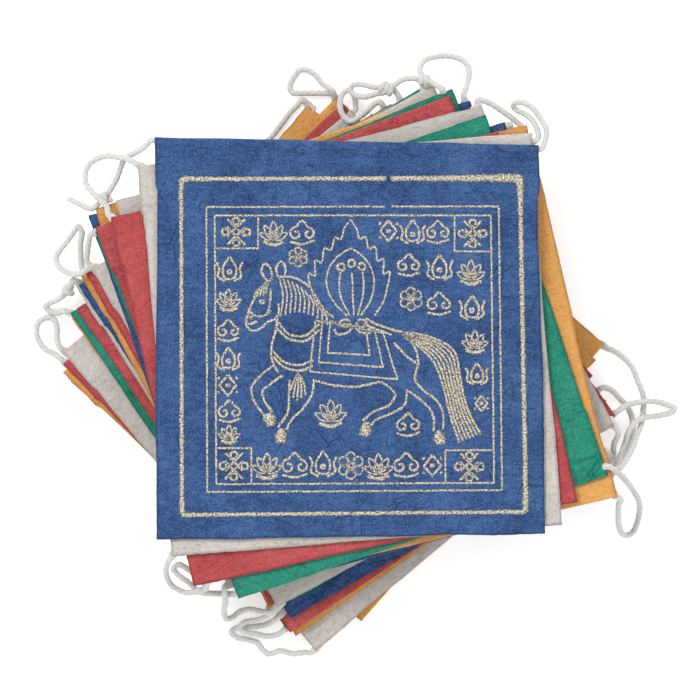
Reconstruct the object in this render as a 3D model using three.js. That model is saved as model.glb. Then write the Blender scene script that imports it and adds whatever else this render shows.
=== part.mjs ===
// A string of twenty-five handmade-paper prayer flags, put down as a fanned stack.
// Millimetres, +Z up. The stack lies on z = 0, each deeper flag turned further to the left,
// with the hem side of the top flag at +Y. The origin is under the middle of the stack.

import * as THREE from "three";

// Driving dimensions
const paperThick = 1.0; // one soft sheet
const layerPitch = 1.4; // from one sheet to the next, so 0.4 lies between them
const cordThick = 2.2; // the loosely twisted cotton string
const cordSides = 8;
const cordStep = 2.0; // cord diameters from one section of the tube to the next
const cellsAcross = 7; // cells along each side of a sheet
const edgeWave = 0.45; // how far the torn edges wander
const swellHeight = 0.8; // how far the loose stack swells, at its top
const hemRise = 0.7; // the string inside the top flag's hem lifts it this much
const stackMiddle = { x: 0.04, y: 0.53 }; // moves flags and string together over the origin

// The paper's and the string's colours
const finishes = {
  blue: { color: 0x2f5596, roughness: 0.9 },
  white: { color: 0xcfcac4, roughness: 0.92 },
  red: { color: 0xb8444c, roughness: 0.9 },
  green: { color: 0x1f9668, roughness: 0.9 },
  yellow: { color: 0xe89b4a, roughness: 0.9 },
  string: { color: 0xdedcd6, roughness: 0.95 },
};

// One row for each flag, from the top of the stack down: the middle of the sheet, its turn in
// degrees, its size, and how far any corner is pulled out of the square by hand tearing.
const flags = [
  {
    colour: "blue", x: 3.6, y: 10.3, turn: 0.3, wide: 139.8, tall: 143.8,
    pull: { topLeft: [0.4, 1.8], topRight: [-1.1, -1.8], bottomRight: [1.1, 0.7], bottomLeft: [-0.4, -0.7] },
  },
  { colour: "white", x: 4.3, y: 8.2, turn: 4.7, wide: 142.5, tall: 142.8 },
  { colour: "red", x: 2.2, y: 2.9, turn: 12.4, wide: 143.1, tall: 137.6 },
  { colour: "green", x: 8.6, y: 4.0, turn: 18.5, wide: 140.7, tall: 138.4 },
  { colour: "yellow", x: 16.4, y: 4.5, turn: 13.4, wide: 140.0, tall: 139.2 },
  { colour: "blue", x: 14.1, y: 2.7, turn: 16.2, wide: 137.4, tall: 140.7, pull: { bottomLeft: [1, 3.5] } },
  { colour: "white", x: 6.2, y: 7.5, turn: 16.9, wide: 139.1, tall: 141.6, pull: { topLeft: [-0.7, 5.8] } },
  { colour: "red", x: 0.3, y: 9.3, turn: 20.4, wide: 136.8, tall: 140.1 },
  { colour: "green", x: 2.7, y: 9.3, turn: 21.9, wide: 140.4, tall: 142.5 },
  { colour: "yellow", x: -1.6, y: 11.1, turn: 17.9, wide: 136.4, tall: 142.5 },
  { colour: "blue", x: -1.2, y: 8.1, turn: 16.8, wide: 145.5, tall: 142.5, pull: { bottomLeft: [6, 3] } },
  { colour: "white", x: 5.5, y: 7.6, turn: 28.3, wide: 140.0, tall: 140.8 },
  {
    colour: "red", x: 0.7, y: 7.8, turn: 29.3, wide: 137.5, tall: 139.6,
    pull: { topLeft: [1.6, -0.4], topRight: [2, -5] },
  },
  {
    colour: "green", x: 7.6, y: 6.7, turn: 31.2, wide: 137.5, tall: 140.0,
    pull: { bottomRight: [-7.6, 0], bottomLeft: [1, 5] },
  },
  { colour: "yellow", x: 1.4, y: 7.3, turn: 29.2, wide: 140.0, tall: 140.0, pull: { topRight: [-2.2, -2.9] } },
  {
    colour: "blue", x: -0.4, y: 6.7, turn: 32.2, wide: 135.3, tall: 141.1,
    pull: { topRight: [-0.7, -6.5], topLeft: [0.7, 0], bottomRight: [0.3, -11.6], bottomLeft: [2.5, -2.5] },
  },
  { colour: "white", x: -0.5, y: 5.8, turn: 31.6, wide: 136.4, tall: 142.2, pull: { topRight: [-1.5, -6.5] } },
  { colour: "red", x: 2.3, y: 1.7, turn: 33.7, wide: 141.5, tall: 142.0, pull: { topRight: [-2.9, -5.1] } },
  { colour: "green", x: -1.1, y: 2.0, turn: 34.7, wide: 140.0, tall: 139.8, pull: { topRight: [-4.4, -6.5] } },
  { colour: "yellow", x: 0.9, y: 0.1, turn: 34.9, wide: 140.0, tall: 142.5, pull: { topRight: [-4.7, -7.3] } },
  {
    colour: "blue", x: 2.2, y: 3.1, turn: 36.0, wide: 138.2, tall: 138.2,
    pull: { topRight: [-5.5, -8.7], bottomRight: [-1.6, -0.6] },
  },
  { colour: "white", x: -2.4, y: -5.1, turn: 40.0, wide: 136.4, tall: 143.3 },
  { colour: "red", x: -3.8, y: -0.8, turn: 43.1, wide: 138.3, tall: 135.5 },
  {
    colour: "yellow", x: -2.7, y: 0.7, turn: 45.3, wide: 141.1, tall: 136.0,
    pull: { bottomRight: [-1.2, -0.4] },
  },
  {
    colour: "yellow", x: -2.2, y: 2.0, turn: 50.0, wide: 135.3, tall: 138.2,
    pull: { bottomLeft: [1.4, 1.8], bottomRight: [2.8, -1.1], topRight: [0, -1.8] },
  },
];

// The string shows only where it leaves one hem and enters the next. Each route is a list of
// [x, y, z] laid by hand, from the upper flag's corner to the lower one's, sagging between them.
// A z near the cord's radius lies on the surface.
const routes = {
  top_left_1: [
    [-68.5, 82.5, 34], [-71, 80, 33.5], [-74.5, 78, 31], [-78, 76, 28], [-79.5, 73, 26],
    [-81, 69, 24.5], [-83, 65.5, 23], [-85, 62.5, 22.5], [-87.5, 60, 22], [-90, 58, 21.5],
    [-92.5, 58.5, 20.5], [-95.5, 60, 19], [-98.5, 61.5, 17],
  ],
  top_left_2: [
    [-74.5, 74.5, 33], [-77.5, 76, 32], [-80.5, 76.5, 31], [-84.5, 77, 30], [-88, 76, 28.5],
    [-91, 74, 27.5], [-92.5, 70.5, 27], [-92, 66.5, 27.5], [-89.5, 63.5, 28.5], [-86.5, 60.5, 29.5],
    [-84.5, 58.5, 30], [-84, 56, 30.2],
  ],
  top_left_link: [[-90.5, 48.5, 22.5], [-91.5, 45, 20.5], [-92, 41.5, 19], [-92, 38.5, 18]],
  top_left_3: [
    [-91.5, 36, 19.5], [-94, 34.5, 19.5], [-96.5, 34, 17.5], [-100, 35, 15], [-102.5, 37, 13],
    [-103.5, 40, 12], [-102, 43, 12], [-99.5, 46, 12.5], [-97, 49.5, 13.5], [-95.5, 51.5, 14],
    [-94, 49.5, 14], [-94.5, 45.5, 13.5], [-94.5, 41, 13], [-94, 36.5, 13],
  ],
  top_left_4: [
    [-97, 32, 13], [-98.5, 29.5, 11], [-99.5, 27.5, 9], [-102, 25.5, 6.5], [-105, 24, 4],
    [-107.5, 22.5, 2.5], [-106, 20.5, 2], [-103, 20, 3], [-100.5, 20.5, 8.5],
  ],
  top_left_5: [
    [-102.5, 7.5, 5], [-103.5, 10.5, 3], [-103.5, 14.5, 1.5], [-105, 18, 1.2], [-108, 18, 1.2],
    [-110.5, 16, 1.2], [-111, 12.5, 1.2], [-110, 9.5, 1.2], [-107.5, 6.5, 1.2], [-104.5, 5, 1.5],
    [-102.5, 3.5, 3],
  ],
  top_right_1: [
    [73.5, 79.5, 34], [75, 82.5, 33], [75.5, 86.5, 31], [73.5, 90.5, 28.5], [70.5, 94.5, 27],
    [67, 96.5, 26], [64.5, 96.5, 25], [63.5, 95.5, 23.5], [64.5, 94, 22.5], [67.5, 92.5, 23.5],
    [70, 90.5, 26], [72, 87, 29], [72.5, 84, 31.5], [71.5, 82.5, 32.5],
  ],
  top_right_2: [
    [50.5, 97.5, 25], [53.5, 97, 24.5], [56.5, 95.5, 24], [59.5, 93.5, 23], [63, 91, 22.5],
    [66, 88.5, 22], [68, 86, 22], [67.5, 84, 22.5], [64.5, 84.5, 24], [62.5, 87, 25.5],
    [62.5, 88.5, 26.5],
  ],
  top_right_3: [
    [37.5, 101.5, 23.5], [34.5, 103.5, 22.5], [31.5, 105.5, 20.5], [29.5, 108.5, 17], [31, 112, 13.5],
    [34.5, 113.5, 11], [39.5, 114, 9.5], [44, 113, 9.5], [47, 110.5, 11], [47.5, 106.5, 14],
    [46.5, 102.5, 17.5], [45.5, 99.5, 20],
  ],
  top_right_4: [
    [20.5, 101, 15.5], [19, 102, 15], [16.5, 102.5, 14.5], [12.5, 102.5, 13], [8.5, 103.5, 11.5],
    [5.5, 103.5, 10.5], [4, 101.5, 10], [6, 99.5, 10.5], [9.5, 99, 11.5], [13.5, 100, 13.5],
    [16.5, 100.5, 17.5], [19.5, 102.5, 18.5], [22, 104.5, 18.5], [25, 105.5, 19], [29, 105, 19],
  ],
  top_right_5: [
    [15, 97, 13.5], [12.5, 96, 12.5], [10.5, 94, 11.5], [8, 92, 9.5], [4.5, 90, 8], [2, 91.5, 7],
    [0.5, 94.5, 6.5], [0.5, 98, 5.5], [1.5, 100.5, 5], [3.5, 101.5, 4.5], [5.5, 99.5, 4],
    [6, 96.5, 3.5], [6, 94.5, 3.5],
  ],
  top_right_6: [
    [-2.4, 100, 2], [-6, 100.5, 2.5], [-9, 100.5, 2.5], [-12, 100.5, 2.5], [-15, 100.5, 2],
    [-17.5, 101, 1.5], [-18, 103.5, 1.2], [-16.5, 106.5, 1.2], [-14.5, 109, 1.2], [-11.5, 109, 1.2],
    [-8.5, 107, 1.2], [-6.5, 104.5, 1.5], [-4.5, 103, 3], [-2.5, 101.5, 5],
  ],
  loose_end: [
    [-13.5, 98, 1.2], [-15.5, 96, 1.2], [-18, 93.5, 1.2], [-21, 89.5, 1.2], [-24.5, 85, 1.2],
    [-29, 80, 1.2], [-34.1, 73.1, 1.2],
  ],
  bottom_right_1: [
    [98, -36, 31], [100.5, -37.5, 29.5], [103.5, -40, 25], [107.5, -45, 17], [110, -50, 10],
    [109.5, -56, 5], [107.5, -60.5, 4], [104.5, -61.5, 6], [102.5, -58.5, 11], [102, -53.5, 18],
    [102, -50, 24], [102.5, -48, 27.5],
  ],
  bottom_right_2: [
    [96, -29.7, 22.6], [98, -31, 19], [99.5, -34, 14], [99.5, -38, 10.5], [97.5, -41.5, 10],
    [94, -42.5, 13], [90, -41, 18.5],
  ],
  bottom_right_3: [
    [96.6, -7.4, 6], [100, -8.5, 5], [103, -11.5, 4], [106, -15, 3], [107.5, -19.5, 2.5], [107.5, -24, 3],
    [106, -28.5, 5], [104, -32.5, 6.5], [102, -34.5, 8.5], [100.5, -32, 12], [100.5, -28, 15],
    [102, -24, 17.5],
  ],
  bottom_right_4: [
    [102, -16, 9.5], [105, -14, 7.5], [108.5, -13, 6], [111.5, -12.5, 5], [116, -12.5, 3],
    [120, -13.5, 2], [123, -15, 1.5], [122, -16.5, 1.5], [118, -17.5, 1.5], [115, -18, 3],
    [111.5, -18.5, 5.5], [108.5, -20, 7], [106, -23.5, 9], [104.5, -28, 12], [102.7, -32.4, 14.4],
    [101, -36.5, 18], [99, -40, 21.5], [96, -41.5, 24.5],
  ],
  bottom_right_5: [
    [98.5, 7, 1.2], [101, 6, 1.2], [104.5, 3.5, 1.2], [107.5, 0, 1.2], [109.5, -5, 1.2],
    [111.5, -10.5, 1.2], [111.5, -15.5, 1.5], [111, -20, 3], [109, -25, 8.5], [107, -30, 14.5],
    [104.5, -34, 19.5], [102.5, -36.5, 22.5],
  ],
  bottom_left_1: [
    [-61.7, -69.9, 33], [-63, -73.5, 29], [-62.5, -77, 24.5], [-60.5, -80, 21], [-56.5, -82, 20],
    [-53, -82, 22], [-50, -81, 26], [-48.5, -80.5, 29],
  ],
  bottom_left_2: [
    [-52, -75.5, 18], [-55.5, -73.5, 17], [-58.5, -72, 16], [-60.5, -73.5, 15.5],
    [-58.5, -76, 15.5], [-55, -78.5, 16.5], [-51, -82, 17], [-47, -82.5, 18],
    [-42.5, -82.5, 20], [-37.5, -82.5, 23.5],
  ],
  bottom_left_3: [
    [-41.5, -80, 25.5], [-41.5, -83, 25], [-41.5, -86, 20.5], [-42, -89.5, 13], [-41, -92, 9.5],
    [-39, -91.5, 9], [-36.5, -89.5, 9.5], [-33, -88.5, 11.5], [-29.5, -89, 14.5], [-26.5, -89.5, 17],
    [-24, -89.5, 18.5],
  ],
  bottom_left_4: [
    [-20.5, -96.5, 9], [-23, -98, 6.5], [-26.5, -98.5, 5], [-31, -97.5, 5], [-34.5, -97, 5.5],
    [-36.5, -95.5, 6], [-35, -93.5, 7], [-30, -92.5, 9], [-27.5, -91.5, 12], [-26, -90.5, 14],
  ],
  bottom_left_5: [
    [-22.5, -91.5, 12.5], [-24.5, -93, 9], [-28, -94.5, 6], [-33, -95, 4], [-37.5, -95.5, 2.5],
    [-39.5, -97, 1.5], [-37.5, -99, 1.2], [-33, -100, 1.2], [-30, -101, 1.2], [-28.5, -103, 1.2],
    [-26, -105, 1.2], [-21.5, -104, 1.2], [-17, -105, 1.2], [-12.5, -104.5, 1.5], [-10, -104.5, 3],
  ],
};

const group = new THREE.Group();
const stackTop = layerPitch * (flags.length - 1);

function addPiece(name, geometry, finish) {
  const material = new THREE.MeshStandardMaterial({ ...finishes[finish], metalness: 0 });
  const mesh = new THREE.Mesh(geometry, material);
  mesh.name = name;
  group.add(mesh);
}

// The loose stack swells in long waves, fully at its top and not at all where it lies on the
// surface, so neighbouring sheets never come nearer to each other than they start.
function swell(x, y, z) {
  const wave = 1 + 0.6 * Math.sin(x / 26 + 0.4) * Math.cos(y / 29 - 0.7) + 0.4 * Math.sin((x - y) / 33 + 1.1);
  return swellHeight * wave * Math.min(z / stackTop, 1);
}

function sheetCorners(flag) {
  const pull = flag.pull ?? {};
  const turn = THREE.MathUtils.degToRad(flag.turn);
  const corner = (side, end, name) => {
    const [pullX, pullY] = pull[name] ?? [0, 0];
    const x = (side * flag.wide) / 2;
    const y = (end * flag.tall) / 2;
    return new THREE.Vector2(
      flag.x + stackMiddle.x + x * Math.cos(turn) - y * Math.sin(turn) + pullX,
      flag.y + stackMiddle.y + x * Math.sin(turn) + y * Math.cos(turn) + pullY,
    );
  };
  return {
    bottomLeft: corner(-1, -1, "bottomLeft"),
    bottomRight: corner(1, -1, "bottomRight"),
    topLeft: corner(-1, 1, "topLeft"),
    topRight: corner(1, 1, "topRight"),
  };
}

// A torn sheet: a grid laid between its four corners, its edges wandering a little.
function sheetGeometry(flag, order) {
  const corners = sheetCorners(flag);
  const bottomZ = layerPitch * (flags.length - 1 - order);
  const count = cellsAcross + 1;
  const bottom = [];
  const top = [];
  for (let row = 0; row < count; row += 1) {
    for (let column = 0; column < count; column += 1) {
      const u = column / cellsAcross;
      const v = row / cellsAcross;
      const low = corners.bottomLeft.clone().lerp(corners.bottomRight, u);
      const high = corners.topLeft.clone().lerp(corners.topRight, u);
      const point = low.lerp(high, v);
      const across = corners.bottomRight.clone().sub(corners.bottomLeft).normalize();
      const up = corners.topLeft.clone().sub(corners.bottomLeft).normalize();
      const sideWave = Math.sin(5.3 * v + order * 1.7) * Math.sin(Math.PI * v);
      const endWave = Math.sin(4.7 * u + order * 2.3) * Math.sin(Math.PI * u);
      point.addScaledVector(across, edgeWave * sideWave * (2 * u - 1));
      point.addScaledVector(up, edgeWave * endWave * (2 * v - 1));
      const lift = swell(point.x, point.y, bottomZ);
      const hem = order === 0 && row === count - 1 ? hemRise : 0;
      bottom.push([point.x, point.y, bottomZ + lift + hem]);
      top.push([point.x, point.y, bottomZ + lift + hem + paperThick]);
    }
  }
  return closedSheet(bottom, top, count);
}

// Joins a lower and an upper grid of points into one closed body, faces out.
function closedSheet(bottom, top, count) {
  const at = (row, column) => row * count + column;
  const upper = bottom.length;
  const faces = [];
  const quad = (a, b, c, d) => faces.push(a, b, c, a, c, d);
  for (let row = 0; row < count - 1; row += 1) {
    for (let column = 0; column < count - 1; column += 1) {
      const near = at(row, column);
      const right = at(row, column + 1);
      const far = at(row + 1, column + 1);
      const left = at(row + 1, column);
      quad(upper + near, upper + right, upper + far, upper + left);
      quad(near, left, far, right);
    }
  }
  const last = count - 1;
  for (let step = 0; step < last; step += 1) {
    quad(at(0, step), at(0, step + 1), upper + at(0, step + 1), upper + at(0, step));
    quad(at(last, step + 1), at(last, step), upper + at(last, step), upper + at(last, step + 1));
    quad(at(step + 1, 0), at(step, 0), upper + at(step, 0), upper + at(step + 1, 0));
    quad(at(step, last), at(step + 1, last), upper + at(step + 1, last), upper + at(step, last));
  }
  const geometry = new THREE.BufferGeometry();
  geometry.setAttribute("position", new THREE.Float32BufferAttribute([...bottom, ...top].flat(), 3));
  geometry.setIndex(faces);
  return geometry;
}

// A stretch of string: an eight-sided section swept along its smoothed route.
function cordGeometry(route) {
  const points = route.map(([x, y, z]) => {
    const placedX = x + stackMiddle.x;
    const placedY = y + stackMiddle.y;
    return new THREE.Vector3(placedX, placedY, z + swell(placedX, placedY, z));
  });
  const path = new THREE.CatmullRomCurve3(points, false, "centripetal");
  const section = new THREE.Shape();
  section.absarc(0, 0, cordThick / 2, 0, 2 * Math.PI, false);
  return new THREE.ExtrudeGeometry(section, {
    curveSegments: cordSides / 2,
    steps: Math.round(path.getLength() / (cordStep * cordThick)),
    bevelEnabled: false,
    extrudePath: path,
  });
}

flags.forEach((flag, order) => {
  const number = String(order + 1).padStart(2, "0");
  addPiece(`flag_${number}_${flag.colour}`, sheetGeometry(flag, order), flag.colour);
});
for (const [name, route] of Object.entries(routes)) {
  addPiece(`string_${name}`, cordGeometry(route), "string");
}

export default group;
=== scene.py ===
import math
import bpy
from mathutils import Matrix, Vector, noise
from mathutils.bvhtree import BVHTree


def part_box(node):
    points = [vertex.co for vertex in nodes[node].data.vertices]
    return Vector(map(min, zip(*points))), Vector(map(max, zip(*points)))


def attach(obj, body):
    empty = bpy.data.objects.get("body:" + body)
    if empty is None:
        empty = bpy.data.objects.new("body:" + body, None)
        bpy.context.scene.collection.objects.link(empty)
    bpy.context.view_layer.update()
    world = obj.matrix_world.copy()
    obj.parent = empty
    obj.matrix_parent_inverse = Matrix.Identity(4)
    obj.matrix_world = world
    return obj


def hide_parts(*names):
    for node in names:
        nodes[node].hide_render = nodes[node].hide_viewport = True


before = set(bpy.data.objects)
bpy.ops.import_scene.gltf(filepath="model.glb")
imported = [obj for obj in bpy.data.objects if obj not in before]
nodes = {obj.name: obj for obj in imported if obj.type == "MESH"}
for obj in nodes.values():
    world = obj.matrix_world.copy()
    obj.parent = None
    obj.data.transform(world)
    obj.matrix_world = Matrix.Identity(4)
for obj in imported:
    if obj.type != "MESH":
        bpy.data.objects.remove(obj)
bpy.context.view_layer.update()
bpy.ops.object.select_all(action="DESELECT")
mm = 0.001
print("frame loaded:", len(nodes), "nodes")


def smooth(low, high, value):
    t = min(max((value - low) / (high - low), 0), 1)
    return t * t * (3 - 2 * t)


def mix(a, b, t):
    return a + (b - a) * t


# camera: straight above the stack with a long lens, as in the photo
camera = {
    "middle": (4.04, 6.89),  # mm, what the middle of the picture looks at
    "height": 4000,  # mm above the floor
    "across": 254.5,  # mm that the picture shows from side to side
    "level": 35,  # mm, the height at which it shows that much
    "sensor": 36,
}


def makeCamera():
    data = bpy.data.cameras.new("camera")
    data.sensor_width = camera["sensor"]
    data.lens = camera["sensor"] * (camera["height"] - camera["level"]) / camera["across"]
    data.clip_start = 0.1
    data.clip_end = 20
    eye = bpy.data.objects.new("camera", data)
    eye.location = (camera["middle"][0] * mm, camera["middle"][1] * mm, camera["height"] * mm)
    bpy.context.scene.collection.objects.link(eye)
    bpy.context.scene.camera = eye


makeCamera()

# the stack, in mm, as the frame has it
stack = {"pitch": 1.4, "sheets": 25, "swell": 0.8, "waves": (26, 29, 33), "shift": (0.04, 0.53)}
stackTop = stack["pitch"] * (stack["sheets"] - 1)


def swell(x, y, z):
    # long waves of the loose stack, full at its top and nothing at the floor
    crosswise, lengthwise, slanting = stack["waves"]
    wave = 1 + 0.6 * math.sin(x / crosswise + 0.4) * math.cos(y / lengthwise - 0.7)
    wave += 0.4 * math.sin((x - y) / slanting + 1.1)
    return stack["swell"] * wave * min(z / stackTop, 1)


cornerWays = {"topRight": 70, "topLeft": 160, "bottomLeft": 250, "bottomRight": 340}  # degrees


def sheetCorners(node):
    # each corner is the point furthest from the middle on its own side of the flag
    low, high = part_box(node)
    middle = (low + high).xy / 2
    best = {}
    for vertex in nodes[node].data.vertices:
        arm = vertex.co.xy - middle
        angle = math.degrees(math.atan2(arm.y, arm.x))
        for corner, way in cornerWays.items():
            near = abs((angle - way + 180) % 360 - 180) < 45
            if near and arm.length > best.get(corner, (0, None))[0]:
                best[corner] = (arm.length, vertex.co.xy / mm)
    return {corner: place for corner, (_, place) in best.items()}


flagNodes = sorted(name for name in nodes if name.startswith("flag_"))
corners = [sheetCorners(name) for name in flagNodes]

# the string: loosely twisted white cotton. Each route is in mm, from the upper hem to the lower
# one, as it was laid by hand.
string = {
    "diameter": 2.2,
    "twist": 7.6,  # mm for one turn of the three plies
    "sides": 24,
    "step": 0.45,
    "groove": 0.13,  # how deep the plies part, as a share of the radius
    "flattened": 0.3,  # how flat it is pressed inside a hem
    "mouth": 0.8,  # mm inside each hem where it is set straight
    "inHem": 3.0,  # mm of it made inside each hem
    "freed": 1.7,  # how many times that far from its end it is round again
    "hemHeight": 0.28,  # mm from the underside of a hem's space to the string pressed in it
    "lowestHemHeight": 0.42,
    "ends": [(0.35, 0.88), (0.55, 0.55)],  # mm past the end and share of the radius: rings that close it
}
routes = {
    "top_left_1": [
        (-68.5, 82.5, 34), (-71, 80, 33.5), (-74.5, 78, 31), (-78, 76, 28), (-79.5, 73, 26),
        (-81, 69, 24.5), (-83, 65.5, 23), (-85, 62.5, 22.5), (-87.5, 60, 22), (-90, 58, 21.5),
        (-92.5, 58.5, 20.5), (-95.5, 60, 19), (-98.5, 61.5, 17),
    ],
    "top_left_2": [
        (-74.5, 74.5, 33), (-77.5, 76, 32), (-80.5, 76.5, 31), (-84.5, 77, 30), (-88, 76, 28.5),
        (-91, 74, 27.5), (-92.5, 70.5, 27), (-92, 66.5, 27.5), (-89.5, 63.5, 28.5), (-86.5, 60.5, 29.5),
        (-84.5, 58.5, 30), (-84, 56, 30.2),
    ],
    "top_left_link": [(-90.5, 48.5, 22.5), (-91.5, 45, 20.5), (-92, 41.5, 19), (-92, 38.5, 18)],
    "top_left_3": [
        (-91.5, 36, 19.5), (-94, 34.5, 19.5), (-96.5, 34, 17.5), (-100, 35, 15), (-102.5, 37, 13),
        (-103.5, 40, 12), (-102, 43, 12), (-99.5, 46, 12.5), (-97, 49.5, 13.5), (-95.5, 51.5, 14),
        (-94, 49.5, 14), (-94.5, 45.5, 13.5), (-94.5, 41, 13), (-94, 36.5, 13),
    ],
    "top_left_4": [
        (-97, 32, 13), (-98.5, 29.5, 11), (-99.5, 27.5, 9), (-102, 25.5, 6.5), (-105, 24, 4),
        (-107.5, 22.5, 2.5), (-106, 20.5, 2), (-103, 20, 3), (-100.5, 20.5, 8.5),
    ],
    "top_left_5": [
        (-102.5, 7.5, 5), (-103.5, 10.5, 3), (-103.5, 14.5, 1.5), (-105, 18, 1.2), (-108, 18, 1.2),
        (-110.5, 16, 1.2), (-111, 12.5, 1.2), (-110, 9.5, 1.2), (-107.5, 6.5, 1.2), (-104.5, 5, 1.5),
        (-102.5, 3.5, 3),
    ],
    "top_right_1": [
        (73.5, 79.5, 34), (75, 82.5, 33), (75.5, 86.5, 31), (73.5, 90.5, 28.5), (70.5, 94.5, 27),
        (67, 96.5, 26), (64.5, 96.5, 25), (63.5, 95.5, 23.5), (64.5, 94, 22.5), (67.5, 92.5, 23.5),
        (70, 90.5, 26), (72, 87, 29), (72.5, 84, 31.5), (71.5, 82.5, 32.5),
    ],
    "top_right_2": [
        (50.5, 97.5, 25), (53.5, 97, 24.5), (56.5, 95.5, 24), (59.5, 93.5, 23), (63, 91, 22.5),
        (66, 88.5, 22), (68, 86, 22), (67.5, 84, 22.5), (64.5, 84.5, 24), (62.5, 87, 25.5),
        (62.5, 88.5, 26.5),
    ],
    "top_right_3": [
        (37.5, 101.5, 23.5), (34.5, 103.5, 22.5), (31.5, 105.5, 20.5), (29.5, 108.5, 17), (31, 112, 13.5),
        (34.5, 113.5, 11), (39.5, 114, 9.5), (44, 113, 9.5), (47, 110.5, 11), (47.5, 106.5, 14),
        (46.5, 102.5, 17.5), (45.5, 99.5, 20),
    ],
    "top_right_4": [
        (20.5, 101, 15.5), (19, 102, 15), (16.5, 102.5, 14.5), (12.5, 102.5, 13), (8.5, 103.5, 11.5),
        (5.5, 103.5, 10.5), (4, 101.5, 10), (6, 99.5, 10.5), (9.5, 99, 11.5), (13.5, 100, 13.5),
        (16.5, 100.5, 17.5), (19.5, 102.5, 18.5), (22, 104.5, 18.5), (25, 105.5, 19), (29, 105, 19),
    ],
    "top_right_5": [
        (15, 97, 13.5), (12.5, 96, 12.5), (10.5, 94, 11.5), (8, 92, 9.5), (4.5, 90, 8), (2, 91.5, 7),
        (0.5, 94.5, 6.5), (0.5, 98, 5.5), (1.5, 100.5, 5), (3.5, 101.5, 4.5), (5.5, 99.5, 4),
        (6, 96.5, 3.5), (6, 94.5, 3.5),
    ],
    "top_right_6": [
        (-2.4, 100, 2), (-6, 100.5, 2.5), (-9, 100.5, 2.5), (-12, 100.5, 2.5), (-15, 100.5, 2),
        (-17.5, 101, 1.5), (-18, 103.5, 1.2), (-16.5, 106.5, 1.2), (-14.5, 109, 1.2), (-11.5, 109, 1.2),
        (-8.5, 107, 1.2), (-6.5, 104.5, 1.5), (-4.5, 103, 3), (-2.5, 101.5, 5),
    ],
    "loose_end": [
        (-13.5, 98, 1.2), (-15.5, 96, 1.2), (-18, 93.5, 1.2), (-21, 89.5, 1.2), (-24.5, 85, 1.2),
        (-29, 80, 1.2), (-34.1, 73.1, 1.2),
    ],
    "bottom_right_1": [
        (98, -36, 31), (100.5, -37.5, 29.5), (103.5, -40, 25), (107.5, -45, 17), (110, -50, 10),
        (109.5, -56, 5), (107.5, -60.5, 4), (104.5, -61.5, 6), (102.5, -58.5, 11), (102, -53.5, 18),
        (102, -50, 24), (102.5, -48, 27.5),
    ],
    "bottom_right_2": [
        (96, -29.7, 22.6), (98, -31, 19), (99.5, -34, 14), (99.5, -38, 10.5), (97.5, -41.5, 10),
        (94, -42.5, 13), (90, -41, 18.5),
    ],
    "bottom_right_3": [
        (96.6, -7.4, 6), (100, -8.5, 5), (103, -11.5, 4), (106, -15, 3), (107.5, -19.5, 2.5),
        (107.5, -24, 3), (106, -28.5, 5), (104, -32.5, 6.5), (102, -34.5, 8.5), (100.5, -32, 12),
        (100.5, -28, 15), (102, -24, 17.5),
    ],
    "bottom_right_4": [
        (102, -16, 9.5), (105, -14, 7.5), (108.5, -13, 6), (111.5, -12.5, 5), (116, -12.5, 3),
        (120, -13.5, 2), (123, -15, 1.5), (122, -16.5, 1.5), (118, -17.5, 1.5), (115, -18, 3),
        (111.5, -18.5, 5.5), (108.5, -20, 7), (106, -23.5, 9), (104.5, -28, 12), (102.7, -32.4, 14.4),
        (101, -36.5, 18), (99, -40, 21.5), (96, -41.5, 24.5),
    ],
    "bottom_right_5": [
        (98.5, 7, 1.2), (101, 6, 1.2), (104.5, 3.5, 1.2), (107.5, 0, 1.2), (109.5, -5, 1.2),
        (111.5, -10.5, 1.2), (111.5, -15.5, 1.5), (111, -20, 3), (109, -25, 8.5), (107, -30, 14.5),
        (104.5, -34, 19.5), (102.5, -36.5, 22.5),
    ],
    "bottom_left_1": [
        (-61.7, -69.9, 33), (-63, -73.5, 29), (-62.5, -77, 24.5), (-60.5, -80, 21), (-56.5, -82, 20),
        (-53, -82, 22), (-50, -81, 26), (-48.5, -80.5, 29),
    ],
    "bottom_left_2": [
        (-52, -75.5, 18), (-55.5, -73.5, 17), (-58.5, -72, 16), (-60.5, -73.5, 15.5),
        (-58.5, -76, 15.5), (-55, -78.5, 16.5), (-51, -82, 17), (-47, -82.5, 18),
        (-42.5, -82.5, 20), (-37.5, -82.5, 23.5),
    ],
    "bottom_left_3": [
        (-41.5, -80, 25.5), (-41.5, -83, 25), (-41.5, -86, 20.5), (-42, -89.5, 13), (-41, -92, 9.5),
        (-39, -91.5, 9), (-36.5, -89.5, 9.5), (-33, -88.5, 11.5), (-29.5, -89, 14.5), (-26.5, -89.5, 17),
        (-24, -89.5, 18.5),
    ],
    "bottom_left_4": [
        (-20.5, -96.5, 9), (-23, -98, 6.5), (-26.5, -98.5, 5), (-31, -97.5, 5), (-34.5, -97, 5.5),
        (-36.5, -95.5, 6), (-35, -93.5, 7), (-30, -92.5, 9), (-27.5, -91.5, 12), (-26, -90.5, 14),
    ],
    "bottom_left_5": [
        (-22.5, -91.5, 12.5), (-24.5, -93, 9), (-28, -94.5, 6), (-33, -95, 4), (-37.5, -95.5, 2.5),
        (-39.5, -97, 1.5), (-37.5, -99, 1.2), (-33, -100, 1.2), (-30, -101, 1.2), (-28.5, -103, 1.2),
        (-26, -105, 1.2), (-21.5, -104, 1.2), (-17, -105, 1.2), (-12.5, -104.5, 1.5), (-10, -104.5, 3),
    ],
}
bareEnds = {"top_left_1"}  # its lower end is the string's own cut end
mouths = []  # where a string goes into a hem: the flag's order and the place


def placed(point):
    x, y, z = point
    x += stack["shift"][0]
    y += stack["shift"][1]
    return Vector((x, y, z + swell(x, y, z)))


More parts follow.
